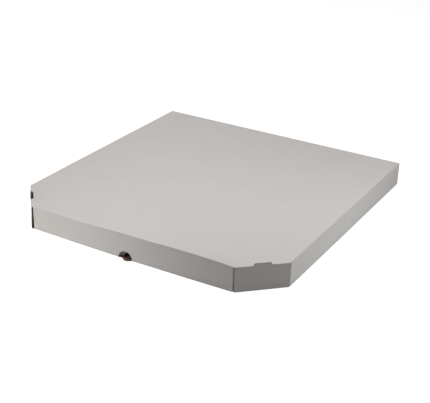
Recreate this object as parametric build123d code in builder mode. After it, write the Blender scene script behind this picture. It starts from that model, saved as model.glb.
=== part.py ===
"""A pizza box with two cut front corners, folded from one die-cut sheet of corrugated board.

Millimetres, +Z up, front towards -Y. The origin is in the middle of the closed box, on the surface
that it stands on. The base tray stands inside the lid's walls, and the two halves are one sheet that
folds along the top of the back wall, so they are split at that crease alone.
"""

import os
from math import sqrt

from build123d import *

# Closed box, over the outer faces of the lid
box_width = 400.0
box_depth = 400.0
box_height = 34.0
corner_cut = 46.0  # leg of each cut front corner

# Board and creases
board = 1.5
fold_radius = 0.5  # inside radius of a crease
crease_straight = 0.2  # straight wall that belongs to a crease
crease_gap = 0.2  # between the lid and the back wall at the hinge crease
layer_gap = 0.2  # between two layers of board that lie on each other
slip_gap = 0.8  # between the lid's walls and the base's walls
seat_gap = 0.3  # between the lid's panel and the tops of the base's walls
foot_gap = 0.3  # between the lid's lower edges and the table
cut_overrun = 1.0

# Lid's walls and corner locks
notch_radius = 10.4  # finger notch in the front wall
end_flap_length = 27.0  # flaps of the front and side walls, held inside the corners
end_flap_root = 3.0  # full height of a flap beyond its fold
end_flap_taper = 5.0
corner_seam = 0.4  # from a corner panel's upper end to the corner of the top panel
corner_taper = 0.8  # how much shorter a corner panel is at its lower edge, each end
roll_taper = 6.0  # how much shorter the rolled-in half is at its upper edge, each end
tongue_width = 22.0  # U-cut tongue at the corner's top crease
tongue_taper = 1.6
tongue_rise = 2.7
tongue_corner = 1.2
slot_play = 0.4  # around the tongue and the lock tab in their slot
lock_width = 17.0
lock_taper = 1.5
lock_depth = 1.0  # top of the lock tab, below the lid's surface

# Base's walls
rear_tab_length = 45.0
tuck_flap_length = 42.0
base_front_taper = 2.0
moon_radius = 7.5  # half-moon hole at the foot of the base's front wall
moon_play = 0.3

# Worked out from the sizes above
half_width = box_width / 2
half_depth = box_depth / 2
crease_height = fold_radius + board + crease_straight
fold_outside = fold_radius + board
fold_middle = fold_radius + board / 2
roll_space = board + 2 * layer_gap  # room for an end flap inside a rolled corner
roll_middle = (roll_space + board) / 2
corner_stack = 2 * board + roll_space
base_inset = board + slip_gap
base_corner_inset = corner_stack + slip_gap
wall_top = box_height - board - seat_gap
corner_half_length = corner_cut / sqrt(2)
corner_line = half_width + half_depth - corner_cut  # x - y along the right cut corner

# Places seen square on to the right cut corner: X along it, Y up, Z outwards
corner_face = Plane(
    origin=(half_width - corner_cut / 2, corner_cut / 2 - half_depth, 0),
    x_dir=(1, 1, 0),
    z_dir=(1, -1, 0),
)
front_face = Plane(origin=(0, -half_depth, 0), x_dir=(1, 0, 0), z_dir=(0, -1, 0))


def corner_x(inset, y):
    """X where a line this far inside the right cut corner passes the given Y."""
    return corner_line - inset * sqrt(2) + y


def corner_y(inset, x):
    """Y where a line this far inside the right cut corner passes the given X."""
    return x - corner_line + inset * sqrt(2)


def cut_corner_outline(inset, corner_inset):
    """Plan of a panel inset from the lid's sides, front and cut corners, flush at the back."""
    side = half_width - inset
    front = inset - half_depth
    corner_front = (corner_x(corner_inset, front), front)
    corner_side = (side, corner_y(corner_inset, side))
    right = [corner_front, corner_side, (side, half_depth)]
    left = [(-x, y) for x, y in reversed(right)]
    return right + left


def trapezoid(lower_half, upper_half, lower, upper):
    """Corners of a panel that is narrower at its upper edge."""
    return [(-lower_half, lower), (lower_half, lower), (upper_half, upper), (-upper_half, upper)]


# Corner panel of the lid, on the right: it hangs outside the end flaps of the two walls beside it,
# rolls under them and locks in the slot with a tab, and its tongue stands up through its top crease.
roll_height = foot_gap + roll_middle + board / 2
roll_half = corner_half_length - corner_taper
tongue_half = tongue_width / 2
lock_half = lock_width / 2
rim_bottom = box_height - crease_height
with BuildPart() as corner_panel:
    with BuildSketch(corner_face):
        with BuildLine():
            Polyline(
                *trapezoid(
                    roll_half,
                    corner_half_length - corner_seam,
                    roll_height,
                    rim_bottom,
                ),
                close=True,
            )
        make_face()
    extrude(amount=-board)
    with BuildSketch(corner_face):
        with BuildLine():
            Polyline(
                *trapezoid(tongue_half, tongue_half - tongue_taper, rim_bottom, box_height + tongue_rise),
                close=True,
            )
        make_face()
        fillet(vertices().group_by(Axis.Y)[-1], tongue_corner)
    extrude(amount=-board)
    with BuildSketch(corner_face.offset(-board - roll_space)):
        with BuildLine():
            Polyline(*trapezoid(roll_half, roll_half - roll_taper, roll_height, wall_top), close=True)
        make_face()
        with BuildLine():
            Polyline(
                *trapezoid(lock_half, lock_half - lock_taper, wall_top, box_height - lock_depth),
                close=True,
            )
        make_face()
    extrude(amount=-board)
    roll_plane = Plane(
        origin=corner_face.from_local_coords((0, roll_height, -board - roll_space / 2)),
        x_dir=corner_face.z_dir,
        z_dir=-corner_face.x_dir,
    )
    with BuildSketch(roll_plane):
        with BuildLine():
            CenterArc((0, 0), roll_middle, start_angle=180, arc_size=180)
        trace(line_width=board)
    extrude(amount=roll_half, both=True)

# Slot that the tongue leaves in the top panel, with the tongue's outline, where the lock tab comes up
with BuildPart() as corner_slot:
    slot_plane = Plane(
        origin=corner_face.from_local_coords((0, rim_bottom, 0)), x_dir=corner_face.x_dir, z_dir=(0, 0, 1)
    )
    slot_half = tongue_half + slot_play
    with BuildSketch(slot_plane):
        with BuildLine():
            Polyline(
                *trapezoid(slot_half, slot_half - tongue_taper, -cut_overrun, corner_stack + slot_play),
                close=True,
            )
        make_face()
    extrude(amount=crease_height + cut_overrun)

# End flaps of the front wall and the right side wall, side by side behind the right corner panel
flap_inset = board + layer_gap
front_middle = board / 2 - half_depth
side_middle = half_width - board / 2
front_bend = corner_x(flap_inset + board / 2, front_middle)
side_bend = corner_y(flap_inset + board / 2, side_middle)
root_run = end_flap_root / sqrt(2)
flap_start = corner_face.to_local_coords(Vector(front_bend, front_middle)).X + end_flap_root
flap_end = flap_start - end_flap_root + end_flap_length
with BuildPart() as end_flaps:
    with BuildSketch(corner_face.offset(-flap_inset)):
        with BuildLine():
            Polyline(
                (flap_start, roll_height),
                (flap_end, roll_height + end_flap_taper),
                (flap_end, rim_bottom - end_flap_taper),
                (flap_start, rim_bottom),
                close=True,
            )
        make_face()
        mirror(about=Plane.YZ)
    extrude(amount=-board)

# Lid: the top panel with its creases, the walls below them and the two locked corners
with BuildPart() as lid:
    with BuildSketch(Plane.XY.offset(rim_bottom)):
        with BuildLine():
            Polyline(*cut_corner_outline(0, 0), close=True)
        make_face()
    extrude(amount=crease_height)
    fillet(lid.edges().group_by(Axis.Z)[-1].sort_by(Axis.Y)[:-1], fold_outside)
    offset(amount=-board, openings=[lid.faces().sort_by(Axis.Z)[0], lid.faces().sort_by(Axis.Y)[-1]])

    # The locked corners: a slot through each top crease, and the panel that hangs there
    add(corner_slot.part, mode=Mode.SUBTRACT)
    mirror(corner_slot.part, about=Plane.YZ, mode=Mode.SUBTRACT)
    add(corner_panel.part)
    mirror(corner_panel.part, about=Plane.YZ)
    add(end_flaps.part)
    mirror(end_flaps.part, about=Plane.YZ)

    # Front wall with the root of an end flap at each side, which passes over the corner's roll
    with BuildSketch(Plane.XY.offset(roll_height)):
        with BuildLine():
            FilletPolyline(
                (-front_bend - root_run, front_middle + root_run),
                (-front_bend, front_middle),
                (front_bend, front_middle),
                (front_bend + root_run, front_middle + root_run),
                radius=fold_middle,
            )
        trace(line_width=board)
    extrude(amount=rim_bottom - roll_height)
    with BuildSketch(front_face):
        with Locations((0, foot_gap)):
            Rectangle(
                2 * (front_bend - fold_outside), roll_height - foot_gap, align=(Align.CENTER, Align.MIN)
            )
    extrude(amount=-board)

    # Side walls, each with the root of an end flap at the front
    with BuildSketch(Plane.XY.offset(roll_height)):
        with BuildLine():
            FilletPolyline(
                (side_middle, half_depth),
                (side_middle, side_bend),
                (side_middle - root_run, side_bend - root_run),
                radius=fold_middle,
            )
        trace(line_width=board)
        mirror(about=Plane.YZ)
    extrude(amount=rim_bottom - roll_height)
    with BuildSketch(Plane.XY.offset(foot_gap)):
        with Locations((half_width, half_depth), (board - half_width, half_depth)):
            Rectangle(board, half_depth - side_bend - fold_outside, align=(Align.MAX, Align.MAX))
    extrude(amount=roll_height - foot_gap)

    # Finger notch in the lower edge of the front wall
    with BuildSketch(front_face.offset(cut_overrun)):
        Circle(notch_radius)
    extrude(amount=-cut_overrun - board - slip_gap / 2, mode=Mode.SUBTRACT)

    # Back edge of the top panel, mitred through the hinge line
    with BuildSketch(Plane.YZ):
        with BuildLine():
            Polyline(
                (half_depth + cut_overrun, box_height + cut_overrun + crease_gap),
                (half_depth + cut_overrun, rim_bottom),
                (half_depth - crease_height - crease_gap, rim_bottom),
                close=True,
            )
        make_face()
    extrude(amount=half_width - board - cut_overrun / 2, both=True, mode=Mode.SUBTRACT)

# Base tray: the floor with its creases, the walls above them and the tongue in the floor's plane
base_half = half_width - base_inset
base_front = base_inset - half_depth
base_corner = corner_x(base_corner_inset, base_front)
wall_x = base_half - board / 2
rear_tab_y = half_depth - board - layer_gap - board / 2
tuck_y = base_front + board + layer_gap + board / 2
corner_middle = base_corner_inset + board / 2
with BuildPart() as base_tray:
    with BuildSketch():
        with BuildLine():
            Polyline(*cut_corner_outline(base_inset, base_corner_inset), close=True)
        make_face()
    extrude(amount=crease_height)
    floor_edges = base_tray.edges().group_by(Axis.Z)[0]
    fillet(floor_edges.filter_by(Axis.X) + floor_edges.filter_by(Axis.Y), fold_outside)
    right_cut = base_tray.faces().filter_by(Axis((0, 0, 0), (1, -1, 0)))
    left_cut = base_tray.faces().filter_by(Axis((0, 0, 0), (1, 1, 0)))
    offset(amount=-board, openings=[base_tray.faces().sort_by(Axis.Z)[-1], *right_cut, *left_cut])

    # Side walls: rear tab, side, cut corner and tuck flap behind the front wall
    with BuildSketch(Plane.XY.offset(crease_height)):
        with BuildLine():
            FilletPolyline(
                (wall_x - rear_tab_length, rear_tab_y),
                (wall_x, rear_tab_y),
                (wall_x, corner_y(corner_middle, wall_x)),
                (corner_x(corner_middle, tuck_y), tuck_y),
                (corner_x(corner_middle, tuck_y) - tuck_flap_length, tuck_y),
                radius=fold_middle,
            )
        trace(line_width=board)
        mirror(about=Plane.YZ)
    extrude(amount=wall_top - crease_height)

    # Front wall
    with BuildSketch(front_face.offset(-base_inset)):
        with BuildLine():
            Polyline(
                *trapezoid(base_corner, base_corner - base_front_taper, crease_height, wall_top), close=True
            )
        make_face()
    extrude(amount=-board)

    # Back wall, mitred through the hinge line
    with BuildSketch(Plane.YZ):
        with BuildLine():
            Polyline(
                (half_depth, crease_height),
                (half_depth, box_height),
                (half_depth - board, box_height - board),
                (half_depth - board, crease_height),
                close=True,
            )
        make_face()
    extrude(amount=base_half, both=True)

    # Half-moon hole at the foot of the front wall, and its tongue
    with BuildSketch(front_face.offset(cut_overrun - base_inset)):
        Circle(moon_radius)
    extrude(amount=-cut_overrun - fold_outside, mode=Mode.SUBTRACT)
    with BuildSketch():
        with Locations((0, base_front)):
            Circle(moon_radius - moon_play)
            Rectangle(2 * (moon_radius - moon_play), fold_outside, align=(Align.CENTER, Align.MIN))
        split(bisect_by=Plane(origin=(0, base_front + fold_outside, 0), z_dir=(0, -1, 0)))
    extrude(amount=board)

os.makedirs("parts", exist_ok=True)
lid.part.label = "lid"
export_step(lid.part, "parts/lid.step")
base_tray.part.label = "base_tray"
export_step(base_tray.part, "parts/base_tray.step")
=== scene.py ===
"""Looks of a flat pizza box, folded from one sheet of thin corrugated board.

The sheet has a white liner outside and a brown kraft liner inside, with a fluted paper between them
that shows at every cut edge. Each panel is a grid of points on the white face. The kraft face lies one
board thickness behind it, and the cut edges between the two are modelled with their flutes.
"""

import bpy
import numpy as np
from mathutils import Matrix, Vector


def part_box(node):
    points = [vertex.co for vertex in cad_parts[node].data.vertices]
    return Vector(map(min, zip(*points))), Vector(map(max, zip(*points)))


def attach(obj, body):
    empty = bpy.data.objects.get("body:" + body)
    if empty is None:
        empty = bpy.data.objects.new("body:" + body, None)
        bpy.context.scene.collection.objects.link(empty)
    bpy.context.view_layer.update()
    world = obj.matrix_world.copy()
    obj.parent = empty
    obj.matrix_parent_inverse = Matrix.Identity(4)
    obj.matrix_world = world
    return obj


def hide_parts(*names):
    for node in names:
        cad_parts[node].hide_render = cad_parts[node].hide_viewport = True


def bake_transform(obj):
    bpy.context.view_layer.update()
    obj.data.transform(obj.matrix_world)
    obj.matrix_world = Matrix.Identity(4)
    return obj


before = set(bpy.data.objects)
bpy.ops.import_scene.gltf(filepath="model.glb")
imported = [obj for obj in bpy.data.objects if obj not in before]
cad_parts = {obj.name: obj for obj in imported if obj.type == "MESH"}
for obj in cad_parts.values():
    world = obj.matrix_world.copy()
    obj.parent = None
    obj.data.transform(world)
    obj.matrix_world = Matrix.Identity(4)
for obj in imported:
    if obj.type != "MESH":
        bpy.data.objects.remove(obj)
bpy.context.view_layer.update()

MM = 0.001
ROOT2 = np.sqrt(2.0)

# Sizes of the box, in metres, from the lid and tray parts of model.glb
lid_low, lid_high = (np.array(corner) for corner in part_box("lid"))
tray_high = np.array(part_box("base_tray")[1])
HALF = float(lid_high[0])
BACK = float(lid_high[1])
HEIGHT = float(tray_high[2])
TONGUE_TOP = float(lid_high[2])
FOOT = float(lid_low[2])
TRAY_HALF = float(tray_high[0])
TRAY_FRONT = -TRAY_HALF

# Board, folds and corner locks
BOARD = 1.5 * MM
FOLD = 0.4 * MM
LAYER = 0.2 * MM
CREASE = 1.8 * MM
CUT = 46.0 * MM
CORNER_LINE = 2 * HALF - CUT
CORNER_HALF = CUT / ROOT2
CORNER_TAPER = 0.5 * MM
CORNER_STACK = 3 * BOARD + 2 * LAYER
ROLL_FOLD = 0.8 * MM
ROLL_HEIGHT = FOOT + ROLL_FOLD
ROLL_TAPER = 6.0 * MM
ROLL_WEAR = 0.7
RIM = HEIGHT - CREASE
TONGUE_HALF = 10.7 * MM
TONGUE_TAPER = 0.8 * MM
TONGUE_ROUND = 0.8 * MM
TONGUE_SHIFT = 0.3 * MM
TONGUE_LEAN = 0.6 * MM
CORNER_OVERLAP = 0.7 * MM
OVERLAP_RISE = 0.06  # share of the corner's height in which the overlap is reached
SLOT_PLAY = 0.1 * MM
SLOT_HALF = TONGUE_HALF + SLOT_PLAY
SLOT_INSET = 3.0 * MM
LEG_LENGTH = 5.2 * MM
LEG_END = HEIGHT - LEG_LENGTH
LOCK_HALF = 8.0 * MM
LOCK_TAPER = 1.0 * MM
LOCK_TOP = HEIGHT - BOARD
FLAP_INSET = BOARD + LAYER
FLAP_FOOT = FOOT + BOARD + LAYER
FLAP_LENGTH = 27.0 * MM
FLAP_ROOT = 3.0 * MM
FLAP_TAPER = 5.0 * MM
NOTCH = 10.4 * MM
NOTCH_SHIFT = -2.3 * MM
NOTCH_EASE = 8 * NOTCH  # where the notch's shift has faded out
BEND_AT = CORNER_LINE - FLAP_INSET * ROOT2 - HALF - FOLD * np.tan(np.pi / 8)
FLAP_BEND = (2 * HALF - BOARD - CORNER_LINE) / ROOT2 + FLAP_INSET + BOARD / 2

# Tray
SEAT_GAP = 0.3 * MM
WALL_TOP = HEIGHT - BOARD - SEAT_GAP
CORNER_PLAY = 0.8 * MM
TRAY_CORNER_INSET = CORNER_STACK + CORNER_PLAY
TRAY_TAPER = 2.0 * MM
TRAY_BEND = 1.7 * MM
REAR_TAB = 45.0 * MM
TUCK_FLAP = 42.0 * MM
MOON = 7.9 * MM
MOON_PLAY = 0.3 * MM
MOON_SHIFT = 0.6 * MM
MOON_REACH = 8.3 * MM
MOON_PAINTED_SHADE = (0.3, 1.1)  # shares of the way to the tongue's edge between which the painted shade at its root gives way to the worn tone
TRAY_BOW = 0.2 * MM
HINGE_DROP = 3.5 * MM
HINGE_FOLD = 0.8 * MM
CREASE_PLACE = 1.25 * BACK  # where the crease starts on the sheet

# Fluted paper at the cut edges
LINER = 0.16 * MM
RECESS = 0.9 * MM
RIBBON_SINK = 0.1 * LINER
RIBBON_WEAR = 0.5
FLUTE = 2.6 * MM
FLUTE_SLANT = FLUTE * ROOT2
FLUTE_ALONG = 90.0 * MM
FLUTE_STEPS = 8
MEDIUM = 0.15 * MM
ENDS_ALONG = [("start", FLUTE_ALONG), ("end", FLUTE_ALONG)]

# Slight bow of the lid's walls at the middle of their lower edges, a lean of the side walls, a flare of the
# corner panels and a bulge of the left one. The front's bow takes the wall's board along, and nothing
# further back. From its folding, the box's front is shifted to the left and turned, with its left end
# forward, and the lid's top droops there.
FRONT_BOW = 2.3 * MM
BOW_DEPTH = 1.3 * MM
BOW_END = 1.8 * MM
BOW_POWER = 1.2
SIDE_BOW = 0.3 * MM
SIDE_LEAN = -0.3 * MM
LEAN_REACH = 20.0 * MM
CORNER_FLARE = 0.7 * MM
LEFT_FLARE = 1.7 * MM
LEFT_BULGE = 0.85 * MM
FLARE_FADE = 1.1  # share of the flare that is lost towards the side wall
FRONT_SHIFT = 3.4 * MM
FRONT_SQUEEZE = 1.4 * MM
FRONT_TURN = 2.4 * MM
DROOP = 1.25 * MM
DROOP_REACH = 150.0 * MM

# The lid's front crease isn't quite straight: a dip left of its middle and a rise on its right, each with
# its place along the crease, its half width and its height
CREASE_WAVES = ((-70.0 * MM, 42.0 * MM, -1.9 * MM), (98.0 * MM, 62.0 * MM, 1.5 * MM))
WAVE_REACH = 80.0 * MM
WAVE_END = 0.7  # share of the waves that is lost at the right end
WAVE_FADE = (0.88, 1.02)  # shares of the way there between which it is lost

# Steps of the mesh: for slopes of a warp, for points that become one, and to tell a number from zero
WARP_STEP = 0.05 * MM
WELD = 0.002 * MM
TINY = 1e-9

# Finishes of the faces, the fluted one also painted shade on the half-moon tongue, and the joins that only
# the cut edges have
WHITE, KRAFT, FLUTED_AND_SHADE = 0, 1, 2
WHITE_LIP, KRAFT_LIP, FACETED = 3, 4, -1


def warped(points, normals, warp):
    """Points moved by a warp, and their normals turned by the inverse of its slopes."""
    moved = warp(points)
    slopes = np.stack([(warp(points + WARP_STEP * axis) - moved) / WARP_STEP for axis in np.eye(3)], 1)
    return moved, np.einsum("pij,pj->pi", np.linalg.inv(slopes), normals)


def run_along(line):
    """Length along a line of points, from 0 at its first."""
    return np.concatenate([[0], np.cumsum(np.linalg.norm(np.diff(line, axis=0), axis=1))])


def grid_of(*parts):
    """Points, normals or places from their coordinates, each spread over the whole grid."""
    return np.stack(np.broadcast_arrays(*parts), -1)


def add_object(name, data):
    """Adds an object with its data to the scene."""
    thing = bpy.data.objects.new(name, data)
    bpy.context.scene.collection.objects.link(thing)
    return thing


class Sheet:
    """Faces of one folded piece of board, gathered as arrays until the mesh is made."""

    def __init__(self):
        self.points, self.normals, self.quads = [], [], []
        self.places, self.worn, self.joins, self.finish = [], [], [], []
        self.count = 0

    def grid(self, points, facing, places, worn, finish, join=None):
        """Quads between the neighbours of a grid of points, turned to look along the facing vectors. These
        are also its normals, unless its join is negative, and grids of one join shade into each other."""
        rows, columns = points.shape[:2]
        facing = np.broadcast_to(facing, points.shape)
        places = np.broadcast_to(places, (rows, columns, 2))
        index = np.arange(rows * columns).reshape(rows, columns)
        quads = np.stack([index[:-1, :-1], index[:-1, 1:], index[1:, 1:], index[1:, :-1]], -1).reshape(-1, 4)
        across = points[:-1, 1:] - points[:-1, :-1]
        down = points[1:, :-1] - points[:-1, :-1]
        if (np.cross(across, down) * facing[:-1, :-1]).sum() < 0:
            quads = quads[:, ::-1]
        join = finish if join is None else join
        self.points.append(points.reshape(-1, 3))
        self.normals.append((facing if join >= 0 else np.zeros_like(points)).reshape(-1, 3))
        self.quads.append(quads + self.count)
        self.places.append(places.reshape(-1, 2))
        self.worn.append(np.broadcast_to(worn, (rows, columns)).ravel())
        self.joins.append(np.full(rows * columns, join))
        self.finish.append(np.full(len(quads), finish))
        self.count += rows * columns

    def panel(self, points, normals, places, worn=0.0, cuts=(), inside=None, inner=KRAFT):
        """A panel of board: the white face on the given grid, the kraft face one board thickness behind
        it along the normals, kept inside the folds, and a cut edge on each named side, with its flute
        pitch, or None for a plain strip, and with its part where not all of the side is cut."""
        normals = np.broadcast_to(normals, points.shape)
        behind = points - BOARD * normals
        if inside is not None:
            behind = inside(behind)
        self.grid(points, normals, places, worn, WHITE)
        self.grid(behind, -normals, places, worn, inner)
        sides = {
            "first": lambda a: (a[0], a[1]),
            "last": lambda a: (a[-1], a[-2]),
            "start": lambda a: (a[:, 0], a[:, 1]),
            "end": lambda a: (a[:, -1], a[:, -2]),
        }
        for side, pitch, *part in cuts:
            part = part[0] if part else slice(None)
            line, next_line = (a[part] for a in sides[side](points))
            line_behind = sides[side](behind)[0][part]
            line_places = sides[side](places)[0][part]
            self.cut_edge(line, line_behind, line - next_line, line_places, pitch)

    def cut_edge(self, line, behind, outwards, places, pitch):
        """A cut edge between two lines of points: a lip for each liner, a recess between them, and the
        fluted paper as a ribbon whose place across the board is half + swing * sin(2 pi run / pitch)."""
        run = run_along(line)
        along = np.gradient(line, run, axis=0)
        through = behind - line
        out = np.cross(along, through)
        out /= np.linalg.norm(out, axis=1, keepdims=True)
        out *= np.where((out * outwards).sum(1, keepdims=True) < 0, -1.0, 1.0)
        lip = LINER / BOARD
        shares = np.array([0, lip, lip, 1 - lip, 1 - lip, 1.0])
        depths = np.array([0, 0, RECESS, RECESS, 0, 0])
        strip = line + shares[:, None, None] * through - depths[:, None, None] * out
        if not pitch:
            self.grid(strip[[0, 5]], out, places, 0.0, WHITE, WHITE_LIP)
            return
        self.grid(strip[:2], out, places, 1.0, WHITE, WHITE_LIP)
        for k, looks in ((1, through), (2, out), (3, -through)):
            self.grid(strip[k : k + 2], looks, places, 0.0, FLUTED_AND_SHADE, FACETED)
        self.grid(strip[4:], out, places, 1.0, KRAFT, KRAFT_LIP)
        steps = max(int(round(run[-1] / pitch * FLUTE_STEPS)), 4)
        at = np.linspace(0, run[-1], steps + 1)
        line, through, out, places = (
            np.stack([np.interp(at, run, a[:, k]) for k in range(a.shape[1])], -1)
            for a in (line, through, out, places)
        )
        half = MEDIUM / BOARD / 2
        middle = 0.5 + (0.5 - lip - half) * np.sin(2 * np.pi * at / pitch)
        shares = middle + half * np.array([-1, -1, 1, 1])[:, None]
        depths = np.array([RECESS, RIBBON_SINK, RIBBON_SINK, RECESS])
        ribbon = line + shares[..., None] * through - depths[:, None, None] * out
        for k, looks in ((0, -through), (1, out), (2, through)):
            self.grid(ribbon[k : k + 2], looks, places, RIBBON_WEAR, FLUTED_AND_SHADE, FACETED)

    def mirrored(self):
        """The same faces on the other side of x = 0, with their corners in the opposite order."""
        other = Sheet()
        other.points = [points * (-1, 1, 1) for points in self.points]
        other.normals = [normals * (-1, 1, 1) for normals in self.normals]
        other.quads = [quads[:, ::-1] for quads in self.quads]
        other.places = [places * (-1, 1) for places in self.places]
        other.worn, other.joins, other.finish, other.count = self.worn, self.joins, self.finish, self.count
        return other

    def take(self, *others):
        """Adds the faces of other sheets."""
        for other in others:
            self.points += other.points
            self.normals += other.normals
            self.quads += [quads + self.count for quads in other.quads]
            self.places += other.places
            self.worn += other.worn
            self.joins += other.joins
            self.finish += other.finish
            self.count += other.count

    def moved(self, warp):
        """Moves all points so far by a warp."""
        for k, points in enumerate(self.points):
            self.points[k], self.normals[k] = warped(points, self.normals[k], warp)
        return self

    def mesh(self, name, warp=None):
        """Makes the object. Points of one join that meet become one, so that panels shade smoothly into
        each other, and a warp, if there is one, moves every point."""
        lists = (self.points, self.normals, self.quads, self.places, self.worn, self.joins, self.finish)
        points, normals, quads, places, worn, joins, finish = (np.concatenate(a) for a in lists)
        apart = joins == FACETED
        joins[apart] -= np.arange(apart.sum())
        key = np.column_stack([np.round(points / WELD).astype(np.int64), joins])
        kept, first, joined = np.unique(key, axis=0, return_index=True, return_inverse=True)
        joined = joined.ravel()
        loops = joined[quads]
        sound = (loops != np.roll(loops, -1, axis=1)).all(axis=1)
        loops, corner, finish = loops[sound], quads[sound], finish[sound]
        summed = np.zeros((len(kept), 3))
        np.add.at(summed, joined, normals)
        normals, points, worn = summed, points[first], worn[first]
        if warp is not None:
            points, normals = warped(points, normals, warp)
        length = np.linalg.norm(normals, axis=1, keepdims=True)
        normals = np.where(length > 0, normals / np.maximum(length, TINY), 0)
        mesh = bpy.data.meshes.new(name)
        mesh.vertices.add(len(points))
        mesh.vertices.foreach_set("co", points.astype(np.float32).ravel())
        mesh.loops.add(loops.size)
        mesh.loops.foreach_set("vertex_index", loops.astype(np.int32).ravel())
        mesh.polygons.add(len(loops))
        mesh.polygons.foreach_set("loop_start", np.arange(0, loops.size, 4, dtype=np.int32))
        mesh.polygons.foreach_set("loop_total", np.full(len(loops), 4, dtype=np.int32))
        mesh.polygons.foreach_set("material_index", finish.astype(np.int32))
        mesh.polygons.foreach_set("use_smooth", np.ones(len(loops), dtype=bool))
        layer = mesh.uv_layers.new(name="sheet")
        layer.data.foreach_set("uv", places[corner].astype(np.float32).ravel())
        # Wear along the creases and cut edges; on the half-moon tongue it rises from the root and lifts the
        # painted shade there.
        wear = mesh.attributes.new("wear", "FLOAT", "POINT")
        wear.data.foreach_set("value", worn.astype(np.float32))
        mesh.update(calc_edges=True)
        mesh.validate()
        mesh.normals_split_custom_set_from_vertices(normals.tolist())
        return add_object(name, mesh)


def spread(*knots):
    """Numbers from knot to knot: each pair (value, steps) is reached in that many even steps."""
    values = [np.array([knots[0]])]
    for value, steps in knots[1:]:
        values.append(np.linspace(values[-1][-1], value, steps + 1)[1:])
    return np.concatenate(values)


def corner_place(along, out):
    """Plan position of a point beside the right cut corner, along it and out from its face."""
    middle = HALF - CUT / 2
    return grid_of(middle + (along + out) / ROOT2, -middle + (along - out) / ROOT2)


def fold_rows(radius=FOLD, steps=7):
    """A quarter round fold, as inset from the wall's face, drop below the panel and the two parts of the
    normal, out and up: inset = R (1 - sin t), drop = R (1 - cos t), t from 0 to a right angle."""
    turn = np.linspace(0, np.pi / 2, steps + 1)
    return radius * (1 - np.sin(turn)), radius * (1 - np.cos(turn)), np.sin(turn), np.cos(turn)


def fold_wear(rows):
    """Wear across the rows of a fold: sin(pi t), t from 0 to 1."""
    return np.sin(np.pi * np.linspace(0, 1, rows))


def fold(sheet, along, axis, face, facing, cuts, inside):
    """A quarter round fold from a level panel into a wall. The wall's face crosses the given axis, 0 for x
    or 1 for y, the panel's white face looks up (1) or down (-1), and along holds the columns of each row."""
    inset, drop, out, up = fold_rows()
    side = np.sign(face)
    arc = FOLD * np.linspace(0, np.pi / 2, len(inset))
    across = (face - side * inset)[:, None]
    place = (face - side * (FOLD - arc))[:, None]
    z = (HEIGHT - drop if facing > 0 else drop)[:, None]
    normals = grid_of(side * out, 0.0, facing * up)
    if axis == 0:
        points, places = grid_of(across, along, z), grid_of(place, along)
    else:
        points, places = grid_of(along, across, z), grid_of(along, place)
        normals = normals[:, [1, 0, 2]]
    sheet.panel(points, normals[:, None], places, fold_wear(len(inset))[:, None], cuts, inside)


def wall(plan, plan_normals, tops, lows, rows):
    """An upright wall along a plan path: each column runs from its top to its lower edge in even rows."""
    share = np.linspace(0, 1, rows + 1)[:, None]
    z = tops + (lows - tops) * share
    points = np.concatenate([np.broadcast_to(plan, (rows + 1, *plan.shape)), z[..., None]], -1)
    return points, np.concatenate([plan_normals, np.zeros((len(plan), 1))], -1)


def plan_path(*pieces):
    """A plan path from pieces of it, each with one normal or with a normal for every point."""
    plan = np.concatenate([points for points, _ in pieces])
    return plan, np.concatenate([np.broadcast_to(normals, points.shape) for points, normals in pieces])


def bend(centre, radius, start, finish, steps=6):
    """A bend in a plan path: points on a circle from one normal's angle to another, and the normals."""
    turn = np.radians(np.linspace(start, finish, steps + 1))
    normals = grid_of(np.cos(turn), np.sin(turn))
    return np.asarray(centre) + radius * normals, normals


def smooth(low, high, value):
    """Rises from 0 to 1 between low and high as 3 t^2 - 2 t^3."""
    t = np.clip((value - low) / (high - low), 0, 1)
    return t * t * (3 - 2 * t)


def inside_lid(points):
    """Keeps a kraft face behind the inner corners of the lid's folds, at the sides, front, cut corners
    and top."""
    x = np.clip(points[..., 0], BOARD - HALF, HALF - BOARD)
    y = np.maximum(points[..., 1], BOARD - HALF)
    past = np.maximum(np.abs(x) - y - CORNER_LINE + BOARD * ROOT2, 0) / 2
    return grid_of(x - np.sign(x) * past, y + past, np.minimum(points[..., 2], HEIGHT - BOARD))


def inside_tray(points):
    """Keeps a kraft face behind the inner corners of the tray's folds, at the sides, front, back and
    floor."""
    x = np.clip(points[..., 0], BOARD - TRAY_HALF, TRAY_HALF - BOARD)
    y = np.clip(points[..., 1], TRAY_FRONT + BOARD, BACK - BOARD)
    return grid_of(x, y, np.maximum(points[..., 2], BOARD))


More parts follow.
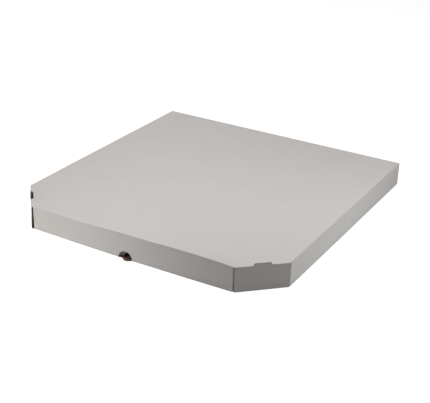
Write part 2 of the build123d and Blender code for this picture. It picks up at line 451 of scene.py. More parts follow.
def lid_corner(flare, lean, bulge):
    """The right cut corner of the lid. The panel hangs from its fold beside the slot, rolls under round
    two creases of constant radius and stands up again inside, with a lock tab on its upper edge. The
    tongue stays in the panel's plane and stands up where the U-cut left it."""
    sheet = Sheet()

    def corner_panel(along, out, z, facing_out, facing_up, drop, *rest):
        """Adds a panel from its rows: place out from the face, height, normal and place on the sheet."""
        out, z, drop = (np.reshape(a, (-1, 1)) for a in (out, z, drop))
        points = grid_of(*np.moveaxis(corner_place(along, out), -1, 0), z)
        outward = np.array([1, -1]) / ROOT2 * facing_out[:, None]
        normals = np.concatenate([outward, facing_up[:, None]], -1)
        sheet.panel(points, normals[:, None], corner_place(along, drop), *rest)

    def half_length(z):
        share = (HEIGHT - FOLD - z) / (HEIGHT - FOLD - ROLL_HEIGHT)
        return CORNER_HALF + CORNER_OVERLAP * smooth(0, OVERLAP_RISE, share) - CORNER_TAPER * share

    # The fold on each side of the slot, down to the end of the U-cut's leg
    inset, drop, out, up = fold_rows()
    flat = np.array([SLOT_INSET, 0.5 * (SLOT_INSET + FOLD)])
    legs = spread(RIM, (LEG_END, 3))
    insets = np.concatenate([flat, inset, 0 * legs])
    heights = np.concatenate([0 * flat + HEIGHT, HEIGHT - drop, legs])
    outs = np.concatenate([0 * flat, out, 0 * legs + 1])
    ups = np.concatenate([0 * flat + 1, up, 0 * legs])
    ends = np.where(
        insets >= FOLD - TINY,
        (CUT / 2 - FOLD) * ROOT2 + insets,
        CORNER_HALF - insets * np.tan(np.pi / 8),
    )
    ends = np.where(heights < HEIGHT - FOLD, half_length(heights), ends)
    travel = run_along(grid_of(insets, heights))
    slot_half = SLOT_HALF - TONGUE_TAPER * np.clip(insets / SLOT_INSET, 0, 1)
    shares = np.linspace(0, 1, 9)
    wear = np.concatenate([0 * flat, fold_wear(len(inset)), 0 * legs])[:, None]
    free = slice(int(np.argmax(heights < HEIGHT - FOLD)) - 1, None)
    for side in (-1, 1):
        along = side * (slot_half[:, None] + (ends - slot_half)[:, None] * shares)
        cuts = [("start", FLUTE_SLANT), ("end", FLUTE_SLANT, free)]
        corner_panel(along, -insets, heights, outs, ups, travel - SLOT_INSET, wear, cuts, inside_lid)

    # The panel, its roll and the rolled-in half
    straight = spread(LEG_END, (ROLL_HEIGHT, 9))
    turn = np.concatenate([np.linspace(0, np.pi / 2, 7), np.linspace(np.pi / 2, np.pi, 7)])
    middles = np.repeat([-ROLL_FOLD, ROLL_FOLD - CORNER_STACK], 7)
    inner = spread(ROLL_HEIGHT, (WALL_TOP, 9))[1:]
    outs = np.concatenate([0 * straight, (middles + ROLL_FOLD * np.cos(turn))[1:], 0 * inner - CORNER_STACK])
    heights = np.concatenate([straight, ROLL_HEIGHT - ROLL_FOLD * np.sin(turn[1:]), inner])
    facing_out = np.concatenate([0 * straight + 1, np.cos(turn[1:]), 0 * inner - 1])
    facing_up = np.concatenate([0 * straight, -np.sin(turn[1:]), 0 * inner])
    roll_half = CORNER_HALF + CORNER_OVERLAP - CORNER_TAPER
    rise = (inner - ROLL_HEIGHT) / (WALL_TOP - ROLL_HEIGHT)
    ends = np.concatenate([half_length(straight), 0 * turn[1:] + roll_half, roll_half - ROLL_TAPER * rise])
    right = spread(LOCK_HALF, (TONGUE_HALF, 2), (SLOT_HALF, 1))
    middle = np.concatenate([-right[::-1], np.linspace(-LOCK_HALF, LOCK_HALF, 11)[1:-1], right])
    side = (ends - SLOT_HALF)[:, None] * np.linspace(0, 1, 9)[1:]
    along = np.concatenate(
        [-SLOT_HALF - side[:, ::-1], np.broadcast_to(middle, (len(ends), len(middle))), SLOT_HALF + side], 1
    )
    travel = run_along(grid_of(outs, heights)) + HEIGHT - LEG_END
    wear = np.concatenate([0 * straight, ROLL_WEAR * np.sin(turn[1:]), 0 * inner])[:, None]
    lock_from, lock_to = (int(np.argmin(np.abs(along[-1] - x))) for x in (-LOCK_HALF, LOCK_HALF))
    free_edges = [(name, FLUTE_SLANT) for name in ("start", "end", "last")]
    beside_lock = [("last", FLUTE_SLANT, part) for part in (slice(0, lock_from + 1), slice(lock_to, None))]

    def inside_roll(points):
        out = (points[..., 0] - points[..., 1] - CORNER_LINE) / ROOT2
        shift = np.clip(out, BOARD - CORNER_STACK, -BOARD) - out
        x, y = points[..., 0] + shift / ROOT2, points[..., 1] - shift / ROOT2
        return grid_of(x, y, np.maximum(points[..., 2], FOOT + BOARD))

    cuts = free_edges[:2] + beside_lock
    corner_panel(along, outs, heights, facing_out, facing_up, travel, wear, cuts, inside_roll)

    # The lock tab on the rolled-in half
    heights = spread(WALL_TOP, (LOCK_TOP, 3))
    share = (heights - WALL_TOP) / (LOCK_TOP - WALL_TOP)
    along = np.linspace(-1, 1, 11) * (LOCK_HALF - LOCK_TAPER * share)[:, None]
    drop = travel[-1] + (heights - WALL_TOP)
    corner_panel(along, -CORNER_STACK, heights, 0 * heights - 1, 0 * heights, drop, 0.0, free_edges)

    # The tongue, with rounded upper corners
    stem = spread(LEG_END, (RIM, 3), (TONGUE_TOP - TONGUE_ROUND, 4))
    turn = np.linspace(0, np.pi / 2, 8)[1:]
    heights = np.concatenate([stem, TONGUE_TOP - TONGUE_ROUND * (1 - np.sin(turn))])
    share = np.clip((heights - RIM) / (TONGUE_TOP - RIM), 0, 1)
    ends = TONGUE_HALF - TONGUE_TAPER * share
    ends[len(stem) :] -= TONGUE_ROUND * (1 - np.cos(turn))
    along = np.linspace(-1, 1, 15) * ends[:, None]
    corner_panel(along, 0.0, heights, 0 * heights + 1, 0 * heights, HEIGHT - heights, 0.0, free_edges)
    return sheet.moved(lambda points: corner_flare(points, flare, lean, bulge))


def corner_flare(points, flare, lean, bulge):
    """Leans the right corner panel out and moves its tongue and slot: the face moves by flare * share of
    the way down from the crease, less towards the side wall, and by bulge * 6.75 t^2 (1 - t), t from 0 at
    the side wall to 1 at the front, which is the whole bulge at its highest. The tongue leans out above it,
    and the middle of the panel moves along by the tongue's shift."""
    along = (points[:, 0] + points[:, 1]) / ROOT2
    share = np.clip((HEIGHT - FOLD - points[:, 2]) / (HEIGHT - FOLD - FOOT), 0, 1)
    share *= 1 - FLARE_FADE * np.clip(0.5 + along / (2 * CORNER_HALF), 0, 1)
    slide = TONGUE_SHIFT * np.clip((CORNER_HALF - np.abs(along)) / (CORNER_HALF - SLOT_HALF), 0, 1)
    slide *= smooth(ROLL_HEIGHT, LEG_END, points[:, 2])
    above = np.clip((points[:, 2] - HEIGHT) / (TONGUE_TOP - HEIGHT), 0, 1)
    depth = (CORNER_LINE - points[:, 0] + points[:, 1]) / ROOT2
    t = np.clip(0.5 - along / (2 * CORNER_HALF), 0, 1)
    swell = 6.75 * bulge * t * t * (1 - t)
    swell *= np.clip((SLOT_INSET - depth) / (SLOT_INSET - FLAP_INSET), 0, 1)
    out = (flare * share + lean * above + swell)[:, None] * (np.array([1, -1, 0]) / ROOT2)
    return points + out + slide[:, None] * (np.array([1, 1, 0]) / ROOT2)


def end_flap(side):
    """Plan of an end flap behind the right corner panel, from a wall's bend to its free end, on the side
    of the front wall (-1) or of the right wall (+1), and how far each point lies down the taper."""
    along = side * spread(FLAP_BEND, (FLAP_BEND - FLAP_ROOT, 2), (FLAP_BEND - FLAP_LENGTH, 8))[1:]
    past = np.clip((FLAP_BEND - FLAP_ROOT - np.abs(along)) / (FLAP_LENGTH - FLAP_ROOT), 0, 1)
    return corner_place(along, 0 * along - FLAP_INSET), past


def lid_wall(straight, normal, bent, side):
    """Columns of a lid wall: a straight run of plan points with one normal, a bend behind the corner panel,
    and the tapered end flap. Returns plan, normals, tops and lower edges."""
    flap, past = end_flap(side)
    round_plan, round_normals = (a[1:] for a in bent)
    plan, normals = plan_path(
        (straight, normal), (round_plan, round_normals), (flap, np.array([1, -1]) / ROOT2)
    )
    eased = np.linspace(HEIGHT - FOLD, RIM, len(round_plan) + 1)[1:]
    tops = np.concatenate([np.full(len(straight), HEIGHT - FOLD), eased, RIM - FLAP_TAPER * past])
    lows = np.concatenate([np.full(len(straight) + len(eased), FOOT), FLAP_FOOT + FLAP_TAPER * past])
    return plan, normals, tops, lows


def mirror_join(a, flip=None):
    """Joins columns from x = 0 to the right with their mirror image, from left to right."""
    other = a[:0:-1] if flip is None else a[:0:-1] * flip
    return np.concatenate([other, a])


def notch_moved(x):
    """Moves the middle of the lid's front along with its finger notch."""
    return x + NOTCH_SHIFT * (1 - smooth(NOTCH, NOTCH_EASE, np.abs(x)))


def to_mitre(along):
    """Columns of a lid fold along its wall, and two more from the wall's bend to the mitre with the corner
    panel's fold."""
    inset = fold_rows()[0]
    past = (HALF - CUT - inset * (ROOT2 - 1) - BEND_AT)[:, None] * np.array([0.5, 1])
    return np.concatenate([np.broadcast_to(along, (len(inset), len(along))), BEND_AT + past], 1)


def lid_front():
    """The lid's front fold and wall. The lower edge follows the finger notch, z = sqrt(r^2 - x^2), whose
    middle lies a little left of the wall's."""
    sheet = Sheet()
    notch_end = np.sqrt(NOTCH**2 - FOOT**2)
    in_notch = NOTCH * np.sin(np.linspace(0, np.arcsin(notch_end / NOTCH), 17))
    x = np.concatenate([in_notch, spread(notch_end, (BEND_AT, 48))[1:]])
    bent = bend((BEND_AT, FOLD - HALF), FOLD, -90, -45)
    plan, normals, tops, lows = lid_wall(grid_of(x, -HALF), (0, -1), bent, -1)
    lows[: len(in_notch)] = np.sqrt(np.maximum(NOTCH**2 - in_notch**2, FOOT**2))
    plan, normals = mirror_join(plan, (-1, 1)), mirror_join(normals, (-1, 1))
    plan[:, 0] = notch_moved(plan[:, 0])
    run = run_along(plan)
    run -= run[len(run) // 2]
    points, facing = wall(plan, normals, mirror_join(tops), mirror_join(lows), 12)
    flap = len(end_flap(-1)[1]) + 1
    places = grid_of(run, -2 * HALF + FOLD + points[..., 2])
    cuts = [("last", FLUTE), *ENDS_ALONG]
    cuts += [("first", FLUTE, slice(0, flap)), ("first", FLUTE, slice(-flap, None))]
    sheet.panel(points, facing, places, 0.0, cuts, inside_lid)
    right = to_mitre(x)
    across = notch_moved(np.concatenate([-right[:, :0:-1], right], 1))
    cuts = [("last", None, slice(0, 3)), ("last", None, slice(-3, None))]
    fold(sheet, across, 1, -HALF, 1, cuts, inside_lid)
    return sheet


def lid_side():
    """The lid's right fold and wall, from the hinge end to the end flap behind the corner panel."""
    sheet = Sheet()
    y = spread(BACK, (BACK - HINGE_DROP, 1), (-BEND_AT, 54))
    bent = bend((HALF - FOLD, -BEND_AT), FOLD, 0, -45)
    plan, *rest = lid_wall(grid_of(HALF, y), (1, 0), bent, 1)
    points, facing = wall(plan, *rest, 12)
    flap = len(end_flap(1)[1]) + 1
    places = grid_of(2 * HALF - FOLD - points[..., 2], BACK - run_along(plan))
    cuts = [("last", FLUTE_ALONG), ("start", FLUTE), ("end", FLUTE)]
    cuts += [("first", FLUTE_ALONG, slice(-flap, None))]
    sheet.panel(points, facing, places, 0.0, cuts, inside_lid)
    cuts = [("last", None, slice(-3, None)), ("start", FLUTE), ("first", None, slice(0, 2))]
    fold(sheet, -to_mitre(-y), 0, HALF, 1, cuts, inside_lid)
    return sheet


def cut_panel(half, front, back, inset, kink_rows, rows, columns):
    """A level panel with two cut front corners: rows at even y, each from -w to w, where w is the half
    width or, in front, the distance to a line that lies inset from the cut corner's face."""
    kink = half - CORNER_LINE + inset * ROOT2
    y = spread(front, (kink, kink_rows), (back, rows))
    w = np.minimum(half, CORNER_LINE - inset * ROOT2 + y)
    return grid_of(w[:, None] * np.linspace(-1, 1, columns), y[:, None], 0.0)


def lid_top():
    """The lid's top panel, level, cut back to the corner slots at the two front corners."""
    sheet = Sheet()
    slant_rows = 32
    plan = cut_panel(HALF - FOLD, FOLD - HALF, BACK - HINGE_DROP, SLOT_INSET, slant_rows, 44, 49)
    points = plan + (0, 0, HEIGHT)
    slant = points[: slant_rows + 1, -1]
    along = (slant[:, 0] + slant[:, 1]) / ROOT2
    slot = np.flatnonzero(np.abs(along - TONGUE_SHIFT) <= SLOT_HALF)
    part = slice(int(slot[0]), int(slot[-1]) + 1)
    cuts = [("start", FLUTE_SLANT, part), ("end", FLUTE_SLANT, part)]
    sheet.panel(points, (0, 0, 1.0), points[..., :2], 0.0, cuts, inside_lid)
    return sheet


def shift_front(points):
    """Shears the box in front of its side walls: x moves left by (shift - squeeze * s) * t and y moves
    forward by turn * s * t, t from 0 to 1 along the depth of the cut corners, s from 0 at the front's right
    end to 1 at its left end, so that the front wall stays flat."""
    share = np.clip((HALF - CUT + points[:, 1]) / -CUT, 0, 1)
    left = np.clip(0.5 - points[:, 0] / (2 * BEND_AT), 0, 1)
    shift = grid_of(FRONT_SHIFT - FRONT_SQUEEZE * left, FRONT_TURN * left, 0.0)
    return points - shift * share[:, None]


def crease_rise(points):
    """How far the top moves up. Round the front's left end the height shrinks by droop * (1 - r)^2, r the
    distance over its reach. The front crease waves by height * exp(-((x - place) / width)^2), fading out
    backwards, at the right end and down the walls."""
    x, y, z = points.T
    far = np.hypot(x + HALF - CUT, y + HALF) / DROOP_REACH
    rise = -DROOP * np.clip(1 - far, 0, 1) ** 2
    near = (1 - smooth(0, WAVE_REACH, y + HALF)) * (1 - WAVE_END * smooth(*WAVE_FADE, x / BEND_AT))
    for place, width, height in CREASE_WAVES:
        rise += height * near * np.exp(-(((x - place) / width) ** 2))
    return rise * np.clip((z - FOOT) / (HEIGHT - FOOT), 0, 1)


def tray_warp(points):
    """Bows the tray's front forward at the foot by bow (1 - s^2), s along the front, fading out up the wall
    and back along the floor, under a lid that waves."""
    x, y, z = points.T
    s = np.clip(x / BEND_AT, -1, 1)
    forward = TRAY_BOW * (1 - s * s) * (1 - smooth(0, CUT, y - TRAY_FRONT)) * np.clip(1 - z / HEIGHT, 0, 1)
    return shift_front(grid_of(x, y - forward, z + crease_rise(points)))


def lid_warp(points):
    """Bows the lid's walls: the lower edge moves out by bow (1 - s^2), s along the wall from its middle,
    and the move fades to nothing up at the crease. The side walls also lean by a constant, and what moves
    them fades out inwards over a reach. The top rises and falls with the front crease."""
    x, y, z = points.T
    down = np.clip((HEIGHT - FOLD - z) / (HEIGHT - FOLD - FOOT), 0, 1) ** BOW_POWER
    front = smooth(BOW_END, BOW_DEPTH, y + HALF)
    s = np.clip(x / BEND_AT, -1, 1)
    out_front = FRONT_BOW * front * down * (1 - s * s)
    side = smooth(LEAN_REACH, BOARD, HALF - np.abs(x))
    middle = (BACK - BEND_AT) / 2
    s = np.clip((y - middle) / (BACK - middle), -1, 1)
    out_side = (SIDE_BOW * (1 - s * s) + SIDE_LEAN) * side * down
    return shift_front(grid_of(x + np.sign(x) * out_side, y - out_front, z + crease_rise(points)))


def tray_floor():
    """The tray's floor, white below and kraft above, cut straight off at the two front corners."""
    sheet = Sheet()
    rows = 12
    points = cut_panel(TRAY_HALF - FOLD, TRAY_FRONT + FOLD, BACK - FOLD, TRAY_CORNER_INSET, rows, 40, 41)
    steps = ((None, slice(0, 2)), (FLUTE_SLANT, slice(1, rows)), (None, slice(rows - 1, rows + 1)))
    cuts = [(name, *step) for name in ("start", "end") for step in steps]
    sheet.panel(points, (0, 0, -1.0), points[..., :2], 0.0, cuts, inside_tray)
    return sheet


def tray_front():
    """The tray's front fold and front wall with a half-moon hole at the foot, and the half-moon tongue
    that stays level: its edge is y = front - reach sqrt(1 - (x / w)^2)."""
    sheet = Sheet()
    moon_half = np.sqrt(MOON**2 - FOLD**2)
    corner = CORNER_LINE - TRAY_CORNER_INSET * ROOT2 + TRAY_FRONT
    in_moon = MOON_SHIFT + MOON * np.sin(np.linspace(-1, 1, 25) * np.arcsin(moon_half / MOON))
    left = spread(-corner, (in_moon[0], 40))
    right = spread(in_moon[-1], (corner, 40))
    x = np.concatenate([left[:-1], in_moon, right[1:]])
    low = np.sqrt(np.maximum(MOON**2 - (x - MOON_SHIFT) ** 2, FOLD**2))
    share = np.linspace(0, 1, 11)[:, None]
    z = WALL_TOP + (low - WALL_TOP) * share
    across = x * (1 - TRAY_TAPER / corner * (z - FOLD) / (WALL_TOP - FOLD))
    points, places = grid_of(across, TRAY_FRONT, z), grid_of(across, TRAY_FRONT - z)
    hole = slice(len(left) - 1, len(left) + len(in_moon) - 1)
    cuts = [("first", FLUTE), *ENDS_ALONG, ("last", FLUTE, hole)]
    sheet.panel(points, (0, -1.0, 0), places, 0.0, cuts, inside_tray)

    inset = fold_rows()[0]
    for run, end, past, sides in (
        (left, 0, -inset, ("start", "end")),
        (right, -1, inset, ("end", "start")),
    ):
        along = np.repeat(run[None], len(inset), axis=0)
        along[:, end] += past
        fold(sheet, along, 1, TRAY_FRONT, -1, zip(sides, (None, FLUTE_ALONG)), inside_tray)

    half = MOON - MOON_PLAY
    x = half * np.sin(np.linspace(-1, 1, 25) * np.pi / 2)
    edge = TRAY_FRONT - MOON_REACH * np.sqrt(np.maximum(1 - (x / half) ** 2, 0))
    share = np.linspace(0, 1, 9)[:, None]
    y = TRAY_FRONT + FOLD + (edge - TRAY_FRONT - FOLD) * share
    points = grid_of(x + MOON_SHIFT, y, 0.0)
    cuts = [("last", FLUTE), *ENDS_ALONG]
    # The tongue's upper face is kraft, drawn in the dark fluted finish as painted shade at its root, which
    # gives way to the worn tone towards its edge.
    sheet.panel(points, (0, 0, -1.0), points[..., :2], smooth(*MOON_PAINTED_SHADE, share), cuts, inner=FLUTED_AND_SHADE)
    return sheet


def tray_side():
    """The tray's right fold and its wall, one band of board: rear tab, side, cut corner and the flap
    tucked behind the front wall, with bends of constant radius between them."""
    sheet = Sheet()
    tab_y = BACK - FLAP_INSET
    tuck_y = TRAY_FRONT + FLAP_INSET
    line = CORNER_LINE - TRAY_CORNER_INSET * ROOT2
    ease = TRAY_BEND * np.tan(np.pi / 8)
    side_x = TRAY_HALF - TRAY_BEND
    corner_y = TRAY_HALF - line + ease
    corner_x = line + tuck_y - ease
    tab = spread(TRAY_HALF - BOARD / 2 - REAR_TAB, (side_x, 8))
    rear, rear_normals = bend((side_x, tab_y - TRAY_BEND), TRAY_BEND, 90, 0)
    side = spread(tab_y - TRAY_BEND, (corner_y, 40))[1:]
    first, first_normals = bend((side_x, corner_y), TRAY_BEND, 0, -45)
    second, second_normals = bend((corner_x, tuck_y + TRAY_BEND), TRAY_BEND, -45, -90)
    slant = first[-1] + (second[0] - first[-1]) * np.linspace(0, 1, 13)[1:-1, None]
    tuck = spread(corner_x, (line + tuck_y - TUCK_FLAP, 8))[1:]
    plan, normals = plan_path(
        (grid_of(tab, tab_y), (0, 1.0)),
        (rear[1:], rear_normals[1:]),
        (grid_of(TRAY_HALF, side), (1.0, 0)),
        (first[1:], first_normals[1:]),
        (slant, np.array([1, -1]) / ROOT2),
        (second, second_normals),
        (grid_of(tuck, tuck_y), (0, -1.0)),
    )
    lows = np.full(len(plan), CREASE)
    from_side = len(tab) + len(rear) - 2
    to_side = from_side + len(side)
    lows[from_side : to_side + 1] = FOLD
    run = -run_along(plan)
    run += side[0] - run[from_side + 1]
    points, facing = wall(plan, normals, np.full(len(plan), WALL_TOP), lows, 9)
    places = grid_of(TRAY_HALF + points[..., 2], run)
    cuts = [("first", FLUTE_ALONG), ("start", FLUTE), ("end", FLUTE)]
    cuts += [("last", FLUTE_ALONG, part) for part in (slice(0, from_side + 1), slice(to_side, None))]
    sheet.panel(points, facing, places, 0.0, cuts, inside_tray)
    inset = fold_rows()[0][:, None]
    straight = np.concatenate([[tab_y - TRAY_BEND], side])
    along = np.broadcast_to(straight, (len(inset), len(straight)))
    along = np.concatenate([BACK - inset, along, TRAY_HALF - inset - line], 1)
    cuts = [("end", None), ("last", None, slice(0, 2)), ("last", None, slice(-2, None))]
    fold(sheet, along, 0, TRAY_HALF, -1, cuts, inside_tray)
    return sheet


def tray_back():
    """The tray's back fold and back wall, up to the hinge crease."""
    sheet = Sheet()
    shares = np.linspace(-1, 1, 41)
    fold(sheet, shares * (TRAY_HALF - fold_rows()[0])[:, None], 1, BACK, -1, (), inside_tray)
    x = shares * TRAY_HALF
    z = spread(FOLD, (HEIGHT - HINGE_DROP, 8))[:, None]
    points, places = grid_of(x, BACK, z), grid_of(x, BACK + z)
    limits = (-HALF, 0, BOARD)
    sheet.panel(points, (0, 1.0, 0), places, 0.0, ENDS_ALONG, lambda a: np.maximum(a, limits))
    return sheet


def crease_strip():
    """The hinge crease: straight up from the back wall, a quarter round, and straight on into the lid."""
    sheet = Sheet()
    inset, drop, out, up = (a[-2::-1] for a in fold_rows(HINGE_FOLD, 9))
    y = np.concatenate([[BACK, BACK], BACK - inset, [BACK - HINGE_DROP]])
    z = np.concatenate([[HEIGHT - HINGE_DROP, HEIGHT - HINGE_FOLD], HEIGHT - drop, [HEIGHT]])
    normals = grid_of(0.0, np.concatenate([[1, 1], out, [0]]), np.concatenate([[0, 0], up, [1]]))
    x = np.linspace(-TRAY_HALF, TRAY_HALF, 41)
    points = grid_of(x, y[:, None], z[:, None])
    places = grid_of(x, CREASE_PLACE - run_along(grid_of(y, z))[:, None])
    limits = (HALF, BACK - BOARD, HEIGHT - BOARD)
    wear = fold_wear(len(y))[:, None]
    sheet.panel(points, normals[:, None], places, wear, ENDS_ALONG, lambda a: np.minimum(a, limits))
    return sheet


lid_sheet = lid_top()
lid_sheet.take(
    lid_front(),
    lid_side(),
    lid_side().mirrored(),
    lid_corner(CORNER_FLARE, TONGUE_LEAN, 0),
    lid_corner(LEFT_FLARE, 0, LEFT_BULGE).mirrored(),
)
lid_board = lid_sheet.mesh("lid_board", lid_warp)

tray_sheet = tray_floor()
tray_sheet.take(tray_front(), tray_back(), tray_side(), tray_side().mirrored())
tray_board = tray_sheet.mesh("tray_board", tray_warp)

hinge_crease = crease_strip().mesh("hinge_crease")


# Finishes: the speed of the texture node's waves at scale 1, the washboard's share of the height, the depth
# of the bump, the mottle at the ends of the colours and the sheen
WAVE_SPEED = 20.0
WASHBOARD = 0.35
BUMP_DEPTH = 0.05 * MM
TONE_ENDS = (0.3, 0.7)
SHEEN = 0.3


def set_inputs(tree, node, inputs):
    """Sets each named or numbered input of a node to a value, or links it to a socket."""
    for name, value in inputs.items():
        if isinstance(value, bpy.types.NodeSocket):
            tree.links.new(value, node.inputs[name])
        else:
            node.inputs[name].default_value = value


def add_node(tree, kind, inputs):
    """Adds a node of a kind, with its inputs."""
    node = tree.nodes.new(kind)
    set_inputs(tree, node, inputs)
    return node


def math_node(tree, operation, *values):
    """The result of a maths node, from values or sockets."""
    node = tree.nodes.new("ShaderNodeMath")
    node.operation = operation
    set_inputs(tree, node, dict(enumerate(values)))
    return node.outputs[0]


def new_material(name):
    """A material with nodes, and its node tree."""
    material = bpy.data.materials.new(name)
    material.use_nodes = True
    return material, material.node_tree


def liner_group():
    """Shared look of a paper liner: soft mottling, fine fibres and the faint washboard of the flutes.
    In: place on the sheet. Out: mottle and fibre (about 0 to 1) and the height of the surface."""
    group = bpy.data.node_groups.new("liner_paper", "ShaderNodeTree")
    group.interface.new_socket("Place", in_out="INPUT", socket_type="NodeSocketVector")
    for name in ("Mottle", "Fibre", "Height"):
        group.interface.new_socket(name, in_out="OUTPUT", socket_type="NodeSocketFloat")
    place = group.nodes.new("NodeGroupInput").outputs["Place"]
    cloud = add_node(group, "ShaderNodeTexNoise", {"Vector": place, "Scale": 22.0, "Detail": 5.0})
    drawn = add_node(group, "ShaderNodeMapping", {"Vector": place, "Scale": (2600.0, 420.0, 1.0)})
    hair = {"Vector": drawn.outputs[0], "Scale": 1.0, "Detail": 3.0}
    fibre = add_node(group, "ShaderNodeTexNoise", hair).outputs["Fac"]
    wave = add_node(group, "ShaderNodeTexWave", {"Vector": place, "Scale": 2 * np.pi / FLUTE / WAVE_SPEED})
    wave.wave_type = "BANDS"
    wave.bands_direction = "X"
    height = math_node(group, "MULTIPLY_ADD", wave.outputs["Fac"], WASHBOARD, fibre)
    results = {"Mottle": cloud.outputs["Fac"], "Fibre": fibre, "Height": height}
    set_inputs(group, group.nodes.new("NodeGroupOutput"), results)
    return group


LINER_PAPER = liner_group()


def paper(name, dark, light, worn, fibre_share, roughness, bump):
    """A paper liner: colour from dark to light by its mottle and fibres, a worn tone along the creases and
    cut edges where a noise breaks it up, and a shallow bump. On the half-moon tongue the wear rises from the
    root, so the dark tones there are painted shade."""
    material, tree = new_material(name)
    sheet = tree.nodes.new("ShaderNodeUVMap")
    sheet.uv_map = "sheet"
    place = sheet.outputs[0]
    look = tree.nodes.new("ShaderNodeGroup")
    look.node_tree = LINER_PAPER
    set_inputs(tree, look, {"Place": place})
    liner = look.outputs
    mix = add_node(tree, "ShaderNodeMix", {"Factor": fibre_share, "A": liner["Mottle"], "B": liner["Fibre"]})
    tone = add_node(tree, "ShaderNodeValToRGB", {"Fac": mix.outputs["Result"]})
    for element, position, colour in zip(tone.color_ramp.elements, TONE_ENDS, (dark, light)):
        element.position = position
        element.color = (*colour, 1)
    wear = tree.nodes.new("ShaderNodeAttribute")
    wear.attribute_name = "wear"
    speck = add_node(tree, "ShaderNodeTexNoise", {"Vector": place, "Scale": 260.0, "Detail": 4.0})
    broken = math_node(tree, "MULTIPLY", wear.outputs["Fac"], speck.outputs["Fac"])
    rub = tree.nodes.new("ShaderNodeMix")
    rub.data_type = "RGBA"
    set_inputs(tree, rub, {"Factor": broken, "A": tone.outputs["Color"], "B": (*worn, 1)})
    relief = {"Strength": bump, "Distance": BUMP_DEPTH, "Height": liner["Height"]}
    lift = add_node(tree, "ShaderNodeBump", relief)
    finish = {"Base Color": rub.outputs["Result"], "Roughness": roughness, "Specular IOR Level": SHEEN}
    finish["Normal"] = lift.outputs["Normal"]
    set_inputs(tree, tree.nodes["Principled BSDF"], finish)
    return material


white_liner = paper(
    "white_liner",
    dark=(0.735, 0.72, 0.70),
    light=(0.765, 0.75, 0.732),
    worn=(0.68, 0.645, 0.60),
    fibre_share=0.35,
    roughness=0.55,
    bump=0.12,
)
kraft_liner = paper(
    "kraft_liner",
    dark=(0.36, 0.245, 0.15),
    light=(0.47, 0.335, 0.215),
    worn=(0.42, 0.31, 0.21),
    fibre_share=0.6,
    roughness=0.75,
    bump=0.25,
)
# Fluted paper: its own brown, darkened further as painted shade in the gaps at the cut edges and at the root
# of the half-moon tongue.
fluted_paper_and_shade = paper(
    "fluted_paper_and_shade",
    dark=(0.10, 0.055, 0.035),
    light=(0.15, 0.085, 0.055),
    worn=(0.38, 0.26, 0.175),
    fibre_share=0.6,
    roughness=0.85,
    bump=0.2,
)

for piece, body, slot in (
    (lid_board, "lid", "lid_board"),
    (tray_board, "base", "base_board"),
    (hinge_crease, None, "lid_board"),
):
    for material in (white_liner, kraft_liner, fluted_paper_and_shade):
        piece.data.materials.append(material)
    if body:
        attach(piece, body)
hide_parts("lid")
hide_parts("base_tray")
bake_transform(hinge_crease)


# Floor and light: the floor's size, how far it lies below the box, its grey and its glow, with the patch
# that doesn't glow, and the strength of the ambient light
FLOOR_HALF = 6.0
FLOOR_DROP = 0.05 * MM
FLOOR_GREY = 0.5
FLOOR_GLOW = 0.93
PATCH_HALF = 1.5 * NOTCH
PATCH_INSET = 0.3 * MM
PATCH_DEPTH = NOTCH + FRONT_BOW + FRONT_TURN / 2 - PATCH_INSET
AMBIENT = 0.01
PLAIN_WHITE = (1.0, 1.0, 1.0, 1.0)

# Camera, fitted to the box's corners in the photo: angles in degrees, the offset of its aim from the box's
# middle, its distance, the focal length in the photo's pixels, and a sensor width in millimetres
AZIMUTH, ELEVATION, ROLL = 30.55, 25.70, 1.12
AIM_RIGHT, AIM_UP = 3.36 * MM, -0.62 * MM
CAMERA_FAR = 1.32826
FOCAL_PIXELS = 936.3
PHOTO_WIDTH = 430
SENSOR = 36.0


def seen_rays(tree):
    """Is 1 for what the camera sees, straight, mirrored or through something clear, and 0 for light."""
    rays = tree.nodes.new("ShaderNodeLightPath").outputs
    seen = rays["Is Camera Ray"]
    for name in ("Is Glossy Ray", "Is Transmission Ray"):
        seen = math_node(tree, "MAXIMUM", seen, rays[name])
    return seen


def open_floor(tree):
    """The floor's glow, and none under the box at its finger notch, where only its shadow shows: there x
    lies near the notch's middle and y between the bowed foot of the front wall and a finger's width
    behind it."""
    place = tree.nodes.new("ShaderNodeTexCoord").outputs["Object"]
    split = add_node(tree, "ShaderNodeSeparateXYZ", {0: place}).outputs
    middle = math_node(tree, "COMPARE", split["X"], NOTCH_SHIFT, PATCH_HALF)
    behind = math_node(tree, "COMPARE", split["Y"], NOTCH - HALF, PATCH_DEPTH)
    under = math_node(tree, "MULTIPLY", middle, behind)
    glow = add_node(tree, "ShaderNodeMapRange", {"Value": under, "To Min": FLOOR_GLOW, "To Max": 0.0})
    return glow.outputs["Result"]


def studio_floor():
    """A level white floor that also glows a little to the camera, so that it reads as white."""
    half, low = FLOOR_HALF, -FLOOR_DROP
    corners = [(-half, -half, low), (half, -half, low), (half, half, low), (-half, half, low)]
    mesh = bpy.data.meshes.new("floor")
    mesh.from_pydata(corners, [], [(0, 1, 2, 3)])
    floor = add_object("floor", mesh)
    material, tree = new_material("floor_white")
    glow = math_node(tree, "MULTIPLY", seen_rays(tree), open_floor(tree))
    grey = (FLOOR_GREY, FLOOR_GREY, FLOOR_GREY, 1)
    finish = {"Base Color": grey, "Roughness": 1.0, "Specular IOR Level": 0.0}
    finish |= {"Emission Color": PLAIN_WHITE, "Emission Strength": glow}
    set_inputs(tree, tree.nodes["Principled BSDF"], finish)
    mesh.materials.append(material)


def set_axes(thing, right, up, back, place):
    """Turns an object so that its x, y and z axes lie along three vectors, and puts it at a place."""
    matrix = np.eye(4)
    matrix[:3] = np.stack([right, up, back, place], -1)
    thing.matrix_world = Matrix(matrix.tolist())


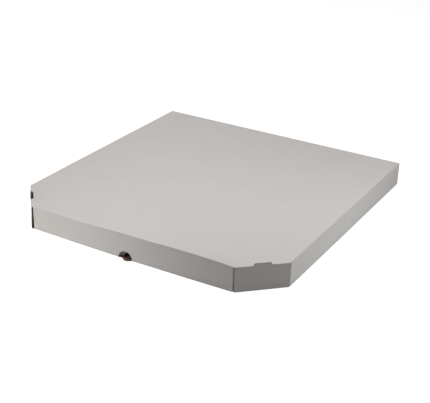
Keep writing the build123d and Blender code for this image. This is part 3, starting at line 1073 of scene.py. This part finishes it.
def soft_lamp(name, place, aim, size, power, beam, tint):
    """A square area lamp at a place, turned to face the aim point, with its size in metres, power in watts,
    beam in degrees and tint."""
    data = bpy.data.lights.new(name, "AREA")
    data.size, data.energy, data.spread, data.color = size, power, np.radians(beam), tint
    back = np.array(place, float) - np.array(aim, float)
    back /= np.linalg.norm(back)
    steep = abs(back[2]) > 0.9
    right = np.cross((0.0, 1.0, 0.0) if steep else (0.0, 0.0, 1.0), back)
    right /= np.linalg.norm(right)
    set_axes(add_object(name, data), right, np.cross(back, right), back, place)


def photo_camera():
    """The camera of the photograph, for an image of 430 by 403."""
    a, e, roll = np.radians((AZIMUTH, ELEVATION, ROLL))
    back = np.array([np.sin(a) * np.cos(e), -np.cos(a) * np.cos(e), np.sin(e)])
    level = np.array([np.cos(a), np.sin(a), 0])
    upright = np.cross(back, level)
    right = np.cos(roll) * level + np.sin(roll) * upright
    up = np.cos(roll) * upright - np.sin(roll) * level
    data = bpy.data.cameras.new("photo_camera")
    data.sensor_width = SENSOR
    data.lens = FOCAL_PIXELS * SENSOR / PHOTO_WIDTH
    camera = add_object("photo_camera", data)
    set_axes(camera, right, up, back, AIM_RIGHT * level + AIM_UP * upright + CAMERA_FAR * back)
    bpy.context.scene.camera = camera


def studio_world():
    """Even ambient light, and plain white where the camera looks past the floor."""
    world = bpy.data.worlds.new("studio")
    bpy.context.scene.world = world
    world.use_nodes = True
    tree = world.node_tree
    level = add_node(tree, "ShaderNodeMapRange", {"Value": seen_rays(tree), "To Min": AMBIENT, "To Max": 1.0})
    sky = {"Color": PLAIN_WHITE, "Strength": level.outputs["Result"]}
    set_inputs(tree, tree.nodes["Background"], sky)


studio_floor()
studio_world()
for lamp in (
    ("lamp_left_front", (-0.6, -0.6, 0.12), (-0.08, -0.2, 0.0), 0.2, 0.1576, 35.0, (1.0, 0.985, 0.967)),
    ("lamp_right", (0.9, 0.1, 0.4), (0.2, 0.0, 0.02), 0.5, 1.55, 180.0, (1.0, 0.93, 0.925)),
    ("lamp_right_narrow", (0.6, 0.15, 0.3), (0.2, -0.06, 0.02), 0.3, 0.129, 70.0, (0.9, 1.0, 1.0)),
    ("lamp_behind", (-0.7, 0.75, 0.5), (-0.1, 0.1, 0.02), 0.5, 1.1, 180.0, (0.88, 0.96, 1.0)),
    ("lamp_above", (-0.05, -0.08, 1.0), (-0.05, -0.08, 0.0), 0.6, 5.35, 180.0, (1.0, 0.955, 0.93)),
):
    soft_lamp(*lamp)
photo_camera()
bpy.context.scene.view_settings.view_transform = "Standard"
